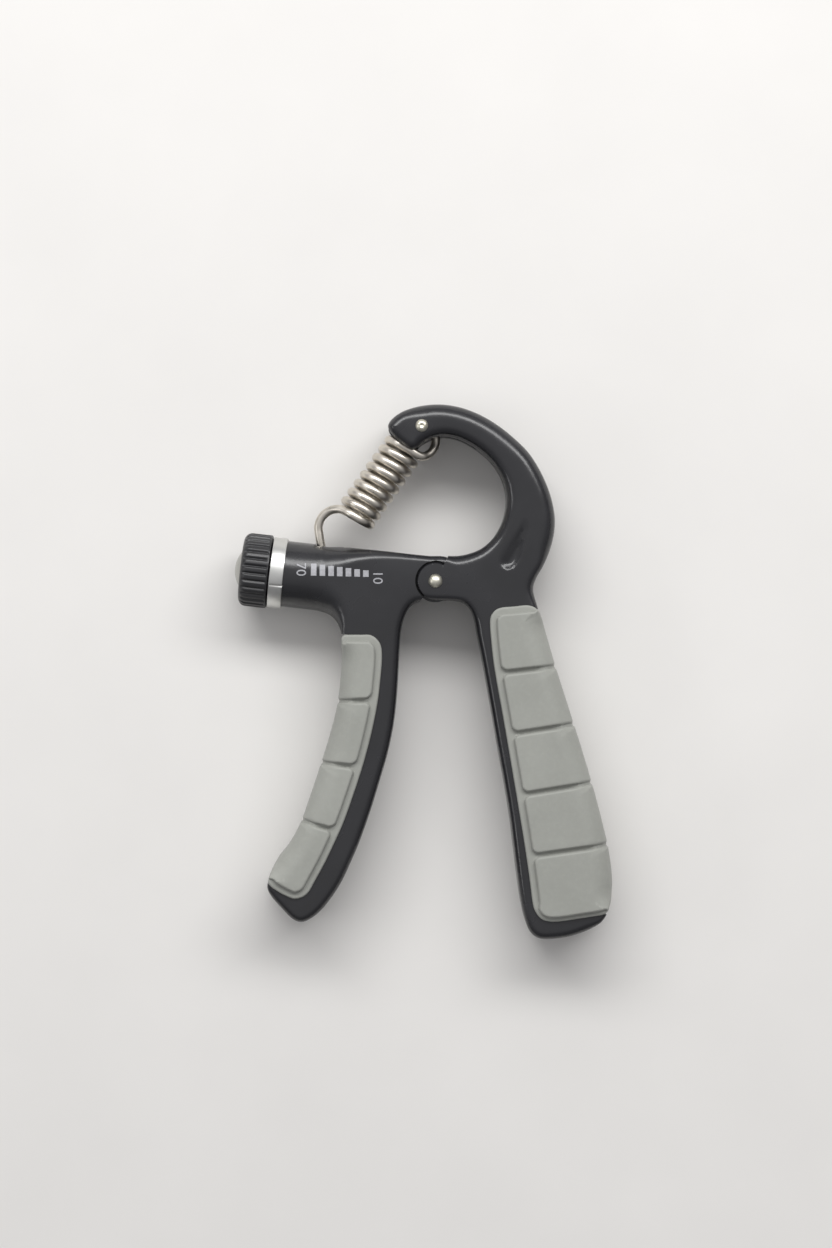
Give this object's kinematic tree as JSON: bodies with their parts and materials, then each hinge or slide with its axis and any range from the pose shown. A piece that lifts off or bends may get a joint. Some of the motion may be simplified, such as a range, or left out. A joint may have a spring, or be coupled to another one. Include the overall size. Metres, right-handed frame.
{
  "type": "hand grip strengthener",
  "caption": "Adjustable hand grip strengthener: two padded handles on one pivot, pulled apart by a tension spring whose lower end is shifted along a barrel by a fluted knob.",
  "frame": {"origin": "middle of the bounding box in plan, on the plane that the grip lies on with its rear side down", "axes": "+Y from the free ends of the handles towards the curved arm, +Z out of the front face along the pivot pin, +X towards the palm handle"},
  "size_m": [0.1086, 0.1534, 0.024],
  "materials": {
    "body_plastic": "black, satin",
    "knob_plastic": "black, fluted",
    "pad_rubber": "grey, soft, matte",
    "nickel": "nickel plated",
    "screw_steel": "zinc plated",
    "brass": "turned",
    "slide_plastic": "natural"
  },
  "bodies": {
    "palm_handle": {"palm_front_shell": "body_plastic", "palm_rear_shell": "body_plastic", "palm_pad": "pad_rubber", "palm_screws": "screw_steel", "anchor_pin": "nickel", "pivot_pin": "nickel", "pivot_washers": "slide_plastic"},
    "finger_handle": {"finger_front_shell": "body_plastic", "finger_rear_shell": "body_plastic", "finger_pad": "pad_rubber", "finger_screws": "screw_steel", "pivot_bush": "brass", "barrel_collar": "nickel", "screw_bearing": "slide_plastic"},
    "adjuster": {"adjusting_knob": "knob_plastic", "lead_screw": "screw_steel", "knob_screw": "screw_steel", "knob_cap": "nickel", "thrust_washer": "slide_plastic", "retaining_clip": "screw_steel"},
    "slider": {"slider_block": "knob_plastic", "slider_nut": "brass", "hook_pin": "screw_steel"},
    "spring": {"tension_spring": "nickel"}
  },
  "joints": [
    {"name": "squeeze", "type": "hinge", "parent": "palm_handle", "child": "finger_handle", "pos_m": [0.00357, 0.02595, 0.012], "axis": [0, 0, 1], "range_deg": [0, 32], "stiffness_Nm_per_rad": 25, "deforming": ["tension_spring"]},
    {"name": "knob_turn", "type": "hinge", "parent": "finger_handle", "child": "adjuster", "pos_m": [-0.03983, 0.02815, 0.012], "axis": [-0.9936, 0.1132, 0], "range_deg": [0, 2880], "deforming": ["tension_spring"]},
    {"name": "slider_travel", "type": "slide", "parent": "finger_handle", "child": "slider", "axis": [0.9936, -0.1132, 0], "range_m": [0, 0.016]},
    {"name": "spring_swing", "type": "hinge", "parent": "palm_handle", "child": "spring", "pos_m": [-0.00033, 0.07035, 0.012], "axis": [0, 0, 1], "range_deg": [0, 12]}
  ],
  "couplings": [
    {"joint": "slider_travel", "follows": "knob_turn", "m_per_rad": 0.00031831},
    {"joint": "spring_swing", "follows": "squeeze", "ratio": 0.316}
  ]
}
